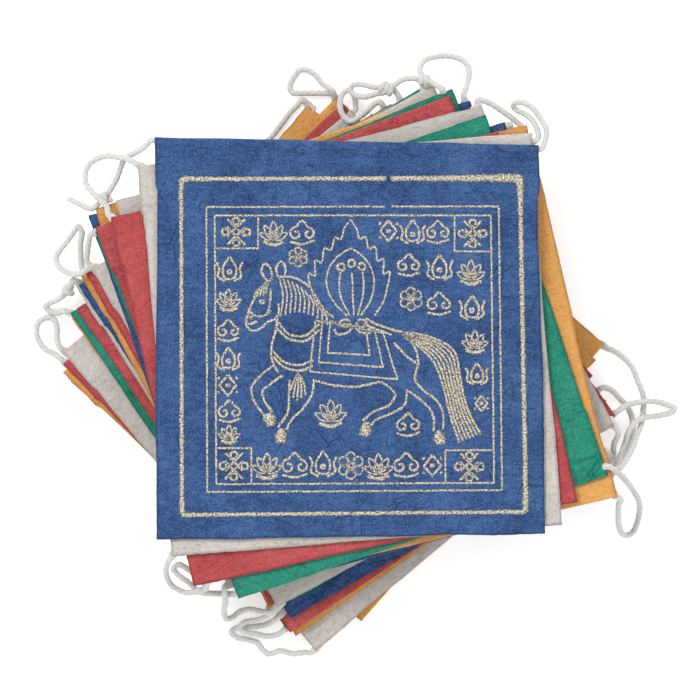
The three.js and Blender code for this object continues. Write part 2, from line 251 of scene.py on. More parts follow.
def smoothPath(points, step):
    # a centripetal Catmull-Rom curve through the points, sampled about a step apart
    ends = [points[0] * 2 - points[1]] + list(points) + [points[-1] * 2 - points[-2]]
    path = []
    for before, here, there, after in zip(ends, ends[1:], ends[2:], ends[3:]):
        first = math.sqrt((here - before).length)
        second = math.sqrt((there - here).length)
        third = math.sqrt((after - there).length)
        leave = (here - before) / first - (there - before) / (first + second) + (there - here) / second
        arrive = (there - here) / second - (after - here) / (second + third) + (after - there) / third
        leave *= second
        arrive *= second
        count = max(2, round((there - here).length / step))
        for k in range(count):
            t = k / count
            square = (here * -3 + there * 3 - leave * 2 - arrive) * t * t
            cube = (here * 2 - there * 2 + leave + arrive) * t ** 3
            path.append(here + leave * t + square + cube)
    path.append(points[-1].copy())
    return path


def pathLength(path):
    return sum((b - a).length for a, b in zip(path, path[1:]))


def nearestOnOutline(order, spot):
    ring = [corners[order][name] for name in ("bottomLeft", "bottomRight", "topRight", "topLeft")]
    best = None
    for a, b in zip(ring, ring[1:] + ring[:1]):
        side = b - a
        t = min(max((spot - a).dot(side) / side.length_squared, 0), 1)
        place = a + side * t
        if best is None or (place - spot).length < (best - spot).length:
            best = place
    return best


def sheetLevel(order):
    return stack["pitch"] * (stack["sheets"] - 1 - order)


def hemBeside(end):
    # the flag whose edge lies nearest to an end of a route
    def distance(order):
        level = sheetLevel(order)
        height = level + swell(end.x, end.y, level) + 0.5
        return math.hypot((nearestOnOutline(order, end.xy) - end.xy).length, 1.5 * (height - end.z))

    return min(range(stack["sheets"]), key=distance)


topHem = {"height": 1.45, "radius": 1.3, "flattened": 0.85}  # the round hem of the top flag


def intoHem(end, inner):
    # carries a route on into the hem beside its end, and says how flat it is pressed there
    order = hemBeside(end)
    level = sheetLevel(order)
    reaches = (string["mouth"], string["inHem"])
    if order == 0:
        side, other = ("topLeft", "topRight") if end.x < 0 else ("topRight", "topLeft")
        corner = corners[0][side]
        along = (corners[0][other] - corner).normalized()
        down = (corners[0][side.replace("top", "bottom")] - corner).normalized()
        spots = [corner + down * topHem["radius"] + along * reach for reach in reaches]
        height, flat = topHem["height"], topHem["flattened"]
    else:
        edge = nearestOnOutline(order, end.xy)
        mouths.append((order, edge))
        middle = sum(corners[order].values(), Vector((0, 0))) / 4
        heading = (end.xy - inner.xy).normalized() + (middle - edge).normalized() * 1.5
        heading.normalize()
        spots = [edge + heading * reach for reach in reaches]
        height = string["hemHeight"] if level > 0 else string["lowestHemHeight"]
        flat = string["flattened"]
    return [Vector((*s, level + swell(*s, level) + height)) for s in spots], flat


def cordRings(path):
    # (place, across, up, mm gone, mm left, size) along a path, with the smaller rings at its ends
    total = pathLength(path)
    gone = 0
    heading = (path[1] - path[0]).normalized()
    up = Vector((0, 0, 1)) if abs(heading.z) < 0.9 else Vector((0, 1, 0))
    across = heading.cross(up).normalized()
    rings = []
    for k, spot in enumerate(path):
        heading = (path[min(k + 1, len(path) - 1)] - path[max(k - 1, 0)]).normalized()
        across = (across - heading * across.dot(heading)).normalized()
        if k:
            gone += (spot - path[k - 1]).length
        rings.append((spot, across.copy(), across.cross(heading), gone, total - gone, 1))
    first, last = rings[0], rings[-1]
    for away, size in string["ends"]:
        back = first[0] - (path[1] - path[0]).normalized() * away
        rings.insert(0, (back, first[1], first[2], 0, total, size))
        on = last[0] + (path[-1] - path[-2]).normalized() * away
        rings.append((on, last[1], last[2], total, 0, size))
    return rings


def flatness(gone, left, pressed):
    inHem, freed = string["inHem"], string["inHem"] * string["freed"]
    flat = mix(pressed[0], 1, smooth(inHem, freed, gone)) if gone < freed else 1
    if left < freed:
        flat = min(flat, mix(pressed[1], 1, smooth(inHem, freed, left)))
    return flat


def cordTube(name, path, pressed=(1, 1)):
    # one closed tube of three plies, twisted, along a path in mm
    sides = string["sides"]
    vertices, groove, faces = [], [], []
    rings = cordRings(path)
    for spot, across, up, gone, left, size in rings:
        flat = flatness(gone, left, pressed)
        soft = 1 + 0.05 * noise.noise(spot * 0.45)
        for s in range(sides):
            angle = 2 * math.pi * s / sides
            turned = angle - 2 * math.pi * gone / string["twist"]
            ply = abs(math.cos(1.5 * turned))
            reach = string["diameter"] / 2 * size * soft * (1 - string["groove"] * (1 - ply ** 0.7))
            offset = across * math.cos(angle) * reach + up * math.sin(angle) * reach
            offset.z *= flat
            offset.xy /= flat ** 0.3
            vertices.append((spot + offset) * mm)
            # a ply's crest is 1 and its groove 0; the colour puts painted shade in the grooves
            groove.append(ply)
    for k in range(len(rings) - 1):
        for s in range(sides):
            a, b = k * sides + s, k * sides + (s + 1) % sides
            faces.append((a, b, b + sides, a + sides))
    for ring, order in ((0, -1), (len(rings) - 1, 1)):
        vertices.append(rings[ring][0] * mm)
        groove.append(1)
        for s in range(sides):
            pair = (ring * sides + s, ring * sides + (s + 1) % sides)
            faces.append((*pair[::order], len(vertices) - 1))
    return newPiece(name, vertices, faces, {"groove": groove})


def newPiece(name, vertices, faces, values):
    mesh = bpy.data.meshes.new(name)
    mesh.from_pydata(vertices, [], faces)
    for key, numbers in values.items():
        if isinstance(numbers[0], (float, int)):
            layer = mesh.attributes.new(key, "FLOAT", "POINT")
            layer.data.foreach_set("value", numbers)
        else:
            layer = mesh.attributes.new(key, "FLOAT_VECTOR", "POINT")
            layer.data.foreach_set("vector", [c for row in numbers for c in row])
    mesh.shade_smooth()
    piece = bpy.data.objects.new(name, mesh)
    bpy.context.scene.collection.objects.link(piece)
    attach(piece, "root")
    return piece


# knots, each wound of the same string over one of the cords
knots = {
    # name: the cord it is on, its middle in mm, the way that it lies, turns
    "knot_top_left": ("top_left_1", (-85.5, 61.8, 23.2), (1, 0.5, 0.1), 1.8),
    "knot_left": ("top_left_4", (-99.2, 28, 9.6), (0.5, 1, 0.6), 1.5),
    "knot_top": ("top_right_4", (17.5, 102, 17.2), (1, -0.3, 0.2), 2.2),
    "knot_top_far": ("top_right_4", (31.5, 104.6, 19.8), (1, 0.2, 0), 1.8),
}
knotWinding = {"radius": 1.5, "pitch": 1.7, "uneven": 0.12, "steps": 16, "start": 0.6}


def makeKnot(name, middle, along, turns):
    middle = placed(middle)
    along = Vector(along).normalized()
    side = along.cross(Vector((0, 0, 1))).normalized()
    up = side.cross(along)
    count = round(turns * knotWinding["steps"])
    path = []
    for k in range(count + 1):
        share = k / count - 0.5
        angle = 2 * math.pi * turns * share + knotWinding["start"]
        reach = knotWinding["radius"] * (1 + knotWinding["uneven"] * math.cos(3 * angle))
        spot = middle + along * share * turns * knotWinding["pitch"]
        path.append(spot + side * math.cos(angle) * reach + up * math.sin(angle) * reach)
    return cordTube(name, path)


def makeCords():
    made = {}
    for name, route in routes.items():
        points = [placed(point) for point in route]
        before, pressedFirst = intoHem(points[0], points[1])
        points = before[::-1] + points
        pressedLast = 1
        if name not in bareEnds:
            after, pressedLast = intoHem(points[-1], points[-2])
            points = points + after
        path = smoothPath(points, string["step"])
        piece = cordTube("cord_" + name, path, (pressedFirst, pressedLast))
        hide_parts("string_" + name)
        made[name] = (piece, path)
    tied = {}
    for name, (cord, middle, along, turns) in knots.items():
        knot = makeKnot(name, middle, along, turns)
        tied.setdefault(cord, []).append(knot)
    tied.setdefault("top_left_3", []).append(made["top_left_link"][0])
    for name, (piece, path) in made.items():
        if name == "top_left_link":
            continue
    pieces = [piece for piece, _ in made.values()]
    for group in tied.values():
        pieces += group
    return pieces


cords = makeCords()
print("cords made:", len(cords))

# the paper: handmade sheets, each with its string hem turned over and under
paper = {
    "thick": 0.26,
    "level": 0.5,  # mm over the underside of the space that the frame gives a sheet
    "hemDepth": 18,
    "mouthLift": 0.28,  # how far a hem stands up over the string that goes into it
    "hemLevel": 0.76,
    "hemGap": 0.5,  # from the sheet down to its turned-under hem
    "hemStep": 0.7,  # how far the turned-under hem stands out at the sides
    "hemRise": (-0.9, 0.3),  # mm before and past the hem's start, between which the sheet steps up
    "topHemRise": 5.5,  # mm over which the top flag rises to its round hem
    "edgeWave": 0.45,
    "edgeWobble": 0.35,
    "edgeFade": 2.5,  # mm in which the edge's unevenness fades inwards
    "tear": 0.22,  # how ragged the torn edges are
    "topTear": 0.12,
    "tearLength": 2.6,
    "endWobble": 0.4,
    "hemWobble": 0.3,
    "fine": 0.9,
    "coarse": 1.5,
    "band": 32,  # mm beside the edges that are made finely
    "middleCells": 8,
}
# wrinkles: height, length along x and along y, all in mm, and which noise
topWrinkles = [(0.42, 21, 15, 0), (0.16, 6.5, 4.5, 3), (0.05, 2.2, 2.0, 5)]
wrinkles = [(0.2, 24, 24, 0), (0.07, 6, 6, 3)]
bottomHems = {4, 5, 6, 7, 9, 11, 18, 19, 21, 25}  # flags whose hem is at the near side
deepHems = {4: 25}  # mm, where a hem is deeper than the rest
creases = {
    # flag: (from x, y, to x, y, height, width), all in mm
    4: [
        (84, -33.6, 94.4, -30.6, 0.9, 1.3),
        (88, -40.6, 94, -32.4, 1.2, 1.4),
        (85.3, -36, 87.4, -40.6, 0.8, 1.2),
        (90.4, -40.6, 94.4, -35, 0.9, 1.2),
        (80.2, -17.2, 88.6, -15, 0.3, 0.8),
    ],
    16: [
        (-17, -88.5, -5, -82, 0.7, 1.3),
        (-9, -86.5, -2, -78.5, 0.6, 1.2),
        (1, -82, 13, -74.5, 0.7, 1.3),
        (10, -78, 16, -70, 0.5, 1.1),
        (17, -74, 27, -67, 0.6, 1.2),
    ],
}


def sheetFrame(order):
    c = corners[order]
    if order + 1 in bottomHems:
        start, hem = (c["topRight"], c["topLeft"]), (c["bottomRight"], c["bottomLeft"])
    else:
        start, hem = (c["bottomLeft"], c["bottomRight"]), (c["topLeft"], c["topRight"])
    lengthwise = (sum(hem, Vector((0, 0))) - sum(start, Vector((0, 0)))) / 2
    crosswise = (start[1] - start[0] + hem[1] - hem[0]) / 2
    return {
        "start": start,
        "hem": hem,
        "tall": lengthwise.length,
        "wide": crosswise.length,
        "along": lengthwise.normalized(),
        "across": crosswise.normalized(),
    }


def spread(length, band, fine, middle):
    # places from one edge to the other, close together near both
    if length <= 2 * band:
        count = round(length / fine)
        return [length * k / count for k in range(count + 1)]
    count = round(band / fine)
    near = [band * k / count for k in range(count)]
    centre = [band + (length - 2 * band) * k / middle for k in range(middle)]
    far = [length - band * k / count for k in range(count, -1, -1)]
    return near + centre + far


def creaseAt(order, x, y):
    # how far the creases lift a place, and how near it lies to the valley beside one, which is darkened
    # with painted shade
    lift = 0
    creaseShade = 0
    for x1, y1, x2, y2, height, width in creases.get(order + 1, ()):
        spot = Vector((x - x1, y - y1))
        line = Vector((x2 - x1, y2 - y1))
        t = spot.dot(line) / line.length_squared
        away = abs(spot.x * line.y - spot.y * line.x) / line.length
        if away < 2 * width and -0.2 < t < 1.2:
            fade = min(smooth(-0.2, 0.15, t), 1 - smooth(0.85, 1.2, t))
            lift += height * fade * max(0, 1 - away / width) ** 1.3
            side = 1 if spot.x * line.y - spot.y * line.x > 0 else -1
            creaseShade = max(creaseShade, fade * max(0, 1 - abs(away * side - width * 0.55) / (width * 0.55)))
    return lift, creaseShade


def sheetLift(order, x, y):
    # height in mm of the middle of the paper's thickness, without its hem
    level = sheetLevel(order)
    lift = level + swell(x, y, level)
    for height, longX, longY, which in wrinkles if order else topWrinkles:
        lift += height * noise.noise(Vector((x / longX, y / longY, order * 7.3 + which)))
    lift += creaseAt(order, x, y)[0]
    for flag, edge in mouths:
        if flag == order:
            lift += paper["mouthLift"] * math.exp(-((x - edge.x) ** 2 + (y - edge.y) ** 2) / 18)
    return lift


def sheetProfile(order, rows, tall, hemDepth):
    # the way round a sheet and its hem: (along, height, along and up parts of the way out)
    top = order == 0
    radius = topHem["radius"] if top else paper["hemGap"] / 2
    centre = topHem["height"] if top else paper["hemLevel"] - radius
    reach = tall - radius
    early, late = (tall - hemDepth + part for part in paper["hemRise"])
    profile = []
    for along in rows:
        if along > reach:
            break
        rise = mix(paper["level"], paper["hemLevel"], smooth(early, late, along))
        if top:
            share = smooth(reach - paper["topHemRise"], reach, along)
            rise += (centre + radius - paper["hemLevel"]) * share
        profile.append((along, rise, 0, 1))
    turns = 10 if top else 5
    for k in range(turns + 1):
        out, up = math.sin(math.pi * k / turns), math.cos(math.pi * k / turns)
        profile.append((reach + radius * out, centre + radius * up, out, up))
    rowsUnder = 12
    for k in range(1, rowsUnder + 1):
        profile.append((reach - (hemDepth - radius) * k / rowsUnder, centre - radius, 0, -1))
    return profile


def ragged(order, along, column, part):
    # the torn fibres of an edge
    force = paper["tear"] if order else paper["topTear"]
    return force * noise.fractal(Vector((along / paper["tearLength"], column, part)), 0.8, 2.1, 3)


def sideWay(order, along, tall, hemStart, side, edge):
    # how far a side edge stands out, by its tears, its slow waves and the hem beneath
    seed = order * 5.1
    v = min(max(along / tall, 0), 1)
    push = paper["edgeWave"] * math.sin(5.3 * v + order * 1.7) * math.sin(math.pi * v)
    push += ragged(order, along, side * 9 + seed, seed)
    push += paper["hemStep"] * smooth(hemStart - 0.4, hemStart + 0.4, along)
    push += paper["edgeWobble"] * noise.noise(Vector((along / 17, side * 3, seed + 2)))
    return push * side * math.exp(-edge / paper["edgeFade"])


def endWay(order, along, tall, column):
    # how far the cut end and the folded end stand out
    seed = order * 5.1
    if along < 12:
        ends = ragged(order, column, seed, seed + 7)
        ends += paper["endWobble"] * noise.noise(Vector((column / 19, seed, seed + 4)))
        return -ends * math.exp(-along / paper["edgeFade"])
    if along > tall - 12:
        ends = paper["hemWobble"] * noise.noise(Vector((column / 19, seed, seed + 11)))
        return ends * math.exp(-(tall - along) / 4)
    return 0


def shellFaces(width, height):
    # a grid's outer and inner side, closed along its four edges
    count = width * height
    faces = []
    for row in range(height - 1):
        for column in range(width - 1):
            a = row * width + column
            b, c, d = a + 1, a + width + 1, a + width
            faces.append((a, b, c, d))
            faces.append((count + a, count + d, count + c, count + b))
    lastRow, lastColumn = (height - 1) * width, width - 1
    edges = [(k, k + 1) for k in range(width - 1)]
    edges += [(lastRow + k + 1, lastRow + k) for k in range(width - 1)]
    edges += [((k + 1) * width, k * width) for k in range(height - 1)]
    edges += [(k * width + lastColumn, (k + 1) * width + lastColumn) for k in range(height - 1)]
    return faces + [(a, count + a, count + b, b) for a, b in edges]


def paperSheet(order):
    node = flagNodes[order]
    sheet = sheetFrame(order)
    tall, wide = sheet["tall"], sheet["wide"]
    if order == 0:
        columns = spread(wide, wide, paper["fine"], 1)
        rows = spread(tall, tall, paper["fine"], 1)
    else:
        step = paper["fine"] if order + 1 in creases else paper["coarse"]
        columns = spread(wide, paper["band"], step, paper["middleCells"])
        rows = spread(tall, paper["band"], step, paper["middleCells"])
    hemDepth = deepHems.get(order + 1, paper["hemDepth"])
    profile = sheetProfile(order, rows, tall, hemDepth)
    outer, inner, place, rim, creaseShade = [], [], [], [], []
    for along, rise, outAlong, outUp in profile:
        under = outUp <= 0
        for column in columns:
            u = column / wide
            low = sheet["start"][0].lerp(sheet["start"][1], u)
            high = sheet["hem"][0].lerp(sheet["hem"][1], u)
            spot = low.lerp(high, along / tall)
            edge = min(column, wide - column)
            side = -1 if u < 0.5 else 1
            spot += sheet["across"] * sideWay(order, along, tall, tall - hemDepth, side, edge)
            spot += sheet["along"] * endWay(order, along, tall, column)
            middle = Vector((*spot, sheetLift(order, *spot) + rise))
            half = Vector((*(sheet["along"] * outAlong), outUp)) * paper["thick"] / 2
            outer.append((middle + half) * mm)
            inner.append((middle - half) * mm)
            fromStart = 2 * tall - along if under else along
            place.append((column + order * 53, fromStart + order * 31, order * 17))
            rim.append(float(min(edge, 3 if under else along, 3) / 3))
            # painted shade: how near the place lies to the valley beside a crease
            creaseShade.append(float(creaseAt(order, *spot)[1]))
    values = {"sheetPlace": place + place, "rim": rim + rim, "creaseShade": creaseShade + creaseShade}
    faces = shellFaces(len(columns), len(profile))
    piece = newPiece("paper_" + node.split("_", 1)[1], outer + inner, faces, values)
    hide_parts(node)
    return piece


sheets = [paperSheet(order) for order in range(stack["sheets"])]
print("sheets made:", len(sheets))

# the gold print on the top flag. Places are in mm from the middle of the flag.
ink = {
    "fine": 0.75,  # widths of strokes
    "plain": 0.95,
    "bold": 1.45,
    "step": 0.5,
    "over": 0.035,  # mm above the paper
    "thick": 0.03,
    "middle": (3.64, 10.83),
    "wobble": 0.11,
    "spread": 1.15,  # how much wider the ink runs than its block
    "uneven": 0.22,
}
strokes = []  # (points, width), the width a number or a function of the place


def draw(points, width=None, curved=True):
    spots = [Vector((x, y, 0)) for x, y in points]
    if curved and len(spots) > 2:
        path = smoothPath(spots, ink["step"])
    else:
        path = []
        for a, b in zip(spots, spots[1:]):
            count = max(1, round((b - a).length / ink["step"]))
            path += [a.lerp(b, k / count) for k in range(count)]
        path.append(spots[-1])
    strokes.append((path, width or ink["plain"]))


def ringPoints(x, y, radius, start=0, turn=360, squeeze=1, count=12):
    spots = []
    for k in range(count + 1):
        angle = math.radians(start + turn * k / count)
        spots.append((x + radius * math.cos(angle), y + radius * squeeze * math.sin(angle)))
    return spots


def spiralPoints(x, y, radius, start, turn, inner=0.25):
    count = max(8, round(abs(turn) / 24))
    spots = []
    for k in range(count + 1):
        t = k / count
        angle = math.radians(start + turn * t)
        reach = radius * mix(1, inner, t)
        spots.append((x + reach * math.cos(angle), y + reach * math.sin(angle)))
    return spots


borders = {
    "band": {"corners": [(-61.0, 58.2), (62.2, 58.6), (64.4, -62.8), (-60.7, -63.9)], "gap": (14.4, 0.7)},
    "outer": {"corners": [(-51.8, 48.0), (54.5, 48.3), (55.7, -54.9), (-51.5, -55.6)], "gap": (14.2, 1.1)},
    "inner": {"corners": [(-48.8, 45.0), (51.6, 45.0), (52.8, -52.3), (-48.2, -52.7)], "gap": None},
}
cornerBoxes = [
    [(-48.8, 33.0), (-33.0, 33.0), (-33.0, 45.0)],
    [(38.4, 45.0), (38.4, 31.9), (51.7, 31.9)],
    [(-48.2, -39.6), (-35.4, -39.6), (-35.4, -52.6)],
    [(35.1, -52.5), (35.1, -40.4), (52.6, -40.4)],
]
band = {
    "width": 1.5,
    "near": 1.4,
    "right": 1.75,
    "round": 1.6,
    "flares": [  # corner, mm wider there, mm that it takes to fade along x and along y
        (0, 0.9, 9, 3),
        (1, 1.9, 24, 5),
        (2, 0.7, 6, 6),
        (3, 0.7, 6, 6),
    ],
}


def bandWidth(spot):
    # the broad band is thin along the near side, and its ink spreads towards the corners
    width = band["near"] if spot.y < -60 else band["right"] if spot.x > 60 else band["width"]
    for corner, wider, fadeX, fadeY in band["flares"]:
        x, y = borders["band"]["corners"][corner]
        width += wider * math.exp(-abs(spot.x - x) / fadeX - abs(spot.y - y) / fadeY)
    return width


def borderRing(corners, gap, rounding):
    # the stops of a border, from one side of the gap in its top side round to the other
    a, b = Vector(corners[0]), Vector(corners[1])
    at, half = gap or (0, 0)
    middle = a.lerp(b, (at - a.x) / (b.x - a.x))
    near = [Vector(corner) for corner in corners[2:]]
    stops = [middle + Vector((half, 0)), b, *near, a, middle - Vector((half, 0))]
    ring = [stops[0]]
    for before, corner, after in zip(stops, stops[1:], stops[2:]):
        start = corner + (before - corner).normalized() * rounding
        end = corner + (after - corner).normalized() * rounding
        for k in range(5):
            t = k / 4
            ring.append(start.lerp(corner, t).lerp(corner.lerp(end, t), t))
    return ring + [stops[-1]]


def drawBorders():
    for name, border in borders.items():
        broad = name == "band"
        ring = borderRing(border["corners"], border["gap"], band["round"] if broad else 0.5)
        draw(ring, bandWidth if broad else ink["fine"], False)
    for box in cornerBoxes:
        draw(box, ink["fine"], False)


def sized(x, y, size, points):
    return [(x + size * across, y + size * up) for across, up in points]


def lotus(x, y, size):
    base = Vector((x, y - size * 0.6))
    for turn, long in ((-64, 0.85), (-32, 0.95), (0, 1.05), (32, 0.95), (64, 0.85)):
        petal = [base]
        for lean, out in ((23, 0.75), (0, 1.5), (-23, 0.75)):
            way = math.radians(90 + turn + lean)
            petal.append(base + Vector((math.cos(way), math.sin(way))) * size * out * long)
        draw(petal + [base], ink["fine"])
    draw(sized(x, y, size, [(-0.85, -0.75), (0, -1), (0.85, -0.75)]), ink["bold"])


def cloud(x, y, size):
    draw(spiralPoints(x - size * 0.5, y - size * 0.1, size * 0.55, 90, 400))
    draw(spiralPoints(x + size * 0.5, y - size * 0.1, size * 0.5, 90, -380))
    draw(sized(x, y, size, [(-0.5, 0.45), (0, 0.95), (0.5, 0.4)]))
    draw(sized(x, y, size, [(-1, -0.75), (0, -0.95), (1, -0.65)]))


def jewel(x, y, size):
    drop = [(0, 1), (-0.5, 0.15), (-0.38, -0.6), (0.38, -0.6), (0.5, 0.15), (0, 1)]
    draw(sized(x, y, size, drop))
    draw(ringPoints(x, y - size * 0.15, size * 0.14))
    for way in (-1, 1):
        flame = [(way * 0.3, -0.88), (way * 0.88, -0.5), (way * 0.78, 0.1), (way, 0.6)]
        draw(sized(x, y, size, flame))


def lozenge(x, y, size):
    draw(sized(x, y, size, [(0, 1), (-0.8, 0), (0, -1), (0.8, 0), (0, 1)]), curved=False)
    draw(sized(x, y, size, [(-0.25, 0), (0.25, 0)]), ink["bold"], False)
    for across in (-1, 1):
        for up in (-1, 1):
            ray = [(across * 0.72, up * 0.78), (across * 0.95, up * 0.58)]
            draw(sized(x, y, size, ray), curved=False)


def rosette(x, y, size):
    for k in range(6):
        angle = math.radians(60 * k + 30)
        middle = (x + size * 0.62 * math.cos(angle), y + size * 0.62 * math.sin(angle))
        draw(ringPoints(*middle, size * 0.35), ink["fine"])
    draw(ringPoints(x, y, size * 0.18))


def knotFigure(x, y, size):
    # a lattice of crossing bands with a loop at each corner
    for way in (-1, 1):
        for shift in (-0.3, 0.3):
            strip = [(-0.65, shift - way * 0.65), (0.65, shift + way * 0.65)]
            draw(sized(x, y, size, strip), curved=False)
    for dx, dy in ((1, 0), (-1, 0), (0, 1), (0, -1)):
        draw(ringPoints(x + dx * size * 0.78, y + dy * size * 0.78, size * 0.25))


ornaments = {
    # figure: places and sizes, in mm
    lotus: [
        (-27.4, 38.6, 4.3), (44.4, 24.4, 4.4), (-29.8, -46, 4.6), (10.8, -46.2, 4.6), (-43.8, 14.4, 3.9),
        (45.8, -0.8, 4.1), (-6.6, -26.8, 4.9), (-43.6, -34.4, 3.3),
    ],
    cloud: [
        (-17, 38.8, 4.5), (32.4, 39, 4.2), (21.8, 27, 4.1), (32.8, 13, 4.3), (-43.8, 3.2, 4.0),
        (-43.4, -26.2, 4.1), (-19.6, -45.8, 4.7), (20.9, -45.8, 4.6), (21.6, -31, 4.3),
    ],
    jewel: [
        (-43.4, 25.2, 4.8), (23.2, 38.8, 4.6), (33, 25.8, 4.9), (44.8, 11.2, 4.7), (-43.8, -7.4, 4.5),
        (46.6, -12.8, 4.2), (-9.4, -45.6, 5.0),
    ],
    rosette: [(-18.4, 29.8, 3.6), (22.6, 14.6, 4.3), (0.7, -46, 4.9)],
    lozenge: [(14.4, 39.4, 3.8), (-44, -16.8, 3.8), (48.2, -23.4, 2.8), (30.4, -46, 3.9)],
    knotFigure: [(-41, 39, 5.0), (45, 38.4, 4.9), (-41.8, -46.1, 5.0), (43.8, -46.4, 5.1)],
}

# the wind horse, trotting to the left with the wish jewel on its back, its lines drawn one by one
horseLines = {
    "forehead": [(-27.6, 22), (-31.2, 19.6), (-34.2, 15), (-36.2, 10.6), (-37.2, 7.4)],
    "muzzle": [(-37.2, 7.4), (-37.4, 5.2), (-35.8, 3.4), (-33.2, 3.2), (-31.4, 4.4)],
    "jaw": [(-31.4, 4.4), (-29.6, 6.2), (-27.2, 7), (-25.6, 9.4), (-25.6, 13)],
    "mouth": [(-36.8, 5.4), (-34.8, 5.8), (-33.2, 6.6)],
    "noseband": [(-36.2, 10.2), (-33.6, 8.4), (-30.6, 8.6), (-28.2, 10.4)],
    "cheekband": [(-29.6, 9), (-28.6, 13.4), (-28.4, 18.4)],
    "nearEar": [(-29.8, 21.4), (-31.8, 24.6), (-30.6, 27.4), (-28.6, 26), (-27.8, 22.6)],
    "farEar": [(-25.8, 22.6), (-26.4, 26), (-24.6, 28.2), (-23, 26), (-23.4, 22.6)],
    "crest": [(-25.8, 22.8), (-20.8, 22.6), (-14.8, 19.4), (-11, 13.6), (-7.6, 8.6)],
    "throat": [(-25.8, 9.2), (-26.6, 3.4), (-28, -2.4), (-28, -7.6), (-25.4, -12.4)],
    "collar": [(-25.8, 6.2), (-21.6, 1.8), (-15.8, 1.4), (-10.6, 5.6)],
    "collarBelow": [(-26.4, 4.2), (-21.8, 0), (-15.4, -0.4), (-10.8, 3.4)],
    "breastband": [(-28, -4), (-23.6, -8.2), (-18, -9.4), (-12.8, -7.6)],
    "breastbandBelow": [(-27.8, -6), (-23.4, -10.2), (-18, -11.4), (-13, -9.8)],
    "raisedFront": [(-27.6, -9.6), (-32, -13.2), (-35.4, -17.6), (-34.4, -22.4), (-30.6, -28)],
    "raisedBack": [(-24, -13.2), (-28.4, -16.2), (-31.4, -19), (-30.6, -22.6), (-27.8, -26.6)],
    "standingFront": [(-21.4, -14.6), (-21.8, -20.4), (-22.2, -26.6), (-25.8, -32.2)],
    "standingBack": [(-12.6, -14.4), (-13.4, -20), (-16.8, -25.4), (-20.6, -29), (-22.8, -33)],
    "belly": [(-12.6, -15), (-5, -16.8), (3.4, -17.2), (11.6, -15.4)],
    "flank": [(11.6, -15.4), (14.8, -17.6), (17.2, -20.2)],
    "forwardHindTop": [(17.2, -20.2), (14.6, -24), (9, -26.4), (5.0, -29.8)],
    "forwardHindUnder": [(21, -18.4), (20.4, -23.6), (15.4, -27), (9.8, -29.4), (8.0, -31.4)],
    "rump": [(19.6, 2), (23.6, -2.4), (25.2, -8.6), (24, -14.6), (27.4, -19)],
    "trailingHindTop": [(27.4, -19), (32, -22.4), (34.2, -27), (34.2, -33)],
    "trailingHindUnder": [(21, -18.4), (25.6, -21.8), (29.6, -25.6), (31, -30), (30.8, -33.6)],
    "crupper": [(16.4, -1.4), (20.8, -6), (24.8, -9)],
    "stripLeft": [(5.8, 7.6), (11.2, 5), (16.4, 3.2), (20, 2.6)],
    "stripRight": [(5.4, 5.6), (10.8, 3.2), (15.6, 1.6)],
}
blanket = [
    [(-12.2, 6.8), (-14.2, -11.8), (17.6, -14.6), (12.4, 2.4)],
    [(-9.6, 6.8), (-11, -8.4), (12.4, -10.2), (9.4, 3.4)],
    [(-6.8, 6.4), (-7.8, -5), (7.6, -5.8), (6.2, 4)],
]
hooves = [
    ((-29.6, -26.8), (-28.2, -31.6)), ((-24.4, -32.4), (-24.8, -37.8)),
    ((6.6, -30.2), (5.6, -35.2)), ((32.4, -33.2), (33.4, -38.2)),
]
hoofWidths = (2.4, 4.3, 3.4)  # at its top, its middle and its toe
jewelLines = {
    "left": [(-0.6, 8.4), (-5.8, 14), (-8.2, 20.4), (-6.6, 27), (-2, 31.6), (0.6, 33)],
    "right": [(4.4, 8.6), (8, 14.4), (9.2, 21), (7.4, 27.2), (3.4, 31.4), (0.6, 33)],
    "seamLeft": [(0.4, 8.6), (-2.6, 14.4), (-3.6, 20), (-3, 24.4)],
    "seamMiddle": [(1.8, 8.6), (1.4, 15), (1.4, 20), (1, 24.4)],
    "seamRight": [(3.2, 8.6), (4.8, 14.6), (5.4, 20), (5, 24.4)],
    "flameLeft": [
        (-5.4, 7.8), (-11, 12.6), (-13.8, 18.4), (-14.6, 24), (-12.4, 23), (-12.2, 28.6), (-10, 27.8),
        (-8.8, 33.2), (-6.6, 32.4), (-5, 37), (-3, 36.2), (-1.6, 40.4), (0.6, 43.4),
    ],
    "flameRight": [
        (9.4, 8.6), (12.4, 13.4), (14, 19), (14.8, 24.6), (12.8, 23.8), (12.6, 29.2), (10.6, 28.4),
        (9.4, 33.6), (7.4, 32.8), (6, 37.2), (4, 36.4), (2.8, 40.2), (0.6, 43.4),
    ],
}
tail = {
    "inner": [(19.8, 1), (25.6, -2.8), (31.2, -9), (34.8, -19), (37.2, -29), (40.2, -37.6)],
    "outer": [(19.8, 2.6), (30, 0.6), (38.2, -4.4), (40.6, -15), (43.2, -25.6), (48, -34.6)],
}
bow = [
    ringPoints(-1.2, 5.8, 1.9, 20, 340, 0.7), ringPoints(4.6, 5.8, 1.9, 160, 340, 0.7),
    [(1.6, 4.8), (-0.6, 2.4), (-4.2, 1.8), (-5.4, 3.6)], [(1.8, 4.8), (4.2, 2.6), (7.4, 2.2), (8.8, 4)],
]


def drawHoof(top, toe):
    def hoofWidth(spot):
        t = (spot.xy - Vector(top)).length / (Vector(toe) - Vector(top)).length
        if t < 0.5:
            return mix(hoofWidths[0], hoofWidths[1], smooth(0, 0.5, t))
        return mix(hoofWidths[1], hoofWidths[2], smooth(0.5, 1, t))

    draw([top, toe], hoofWidth, False)


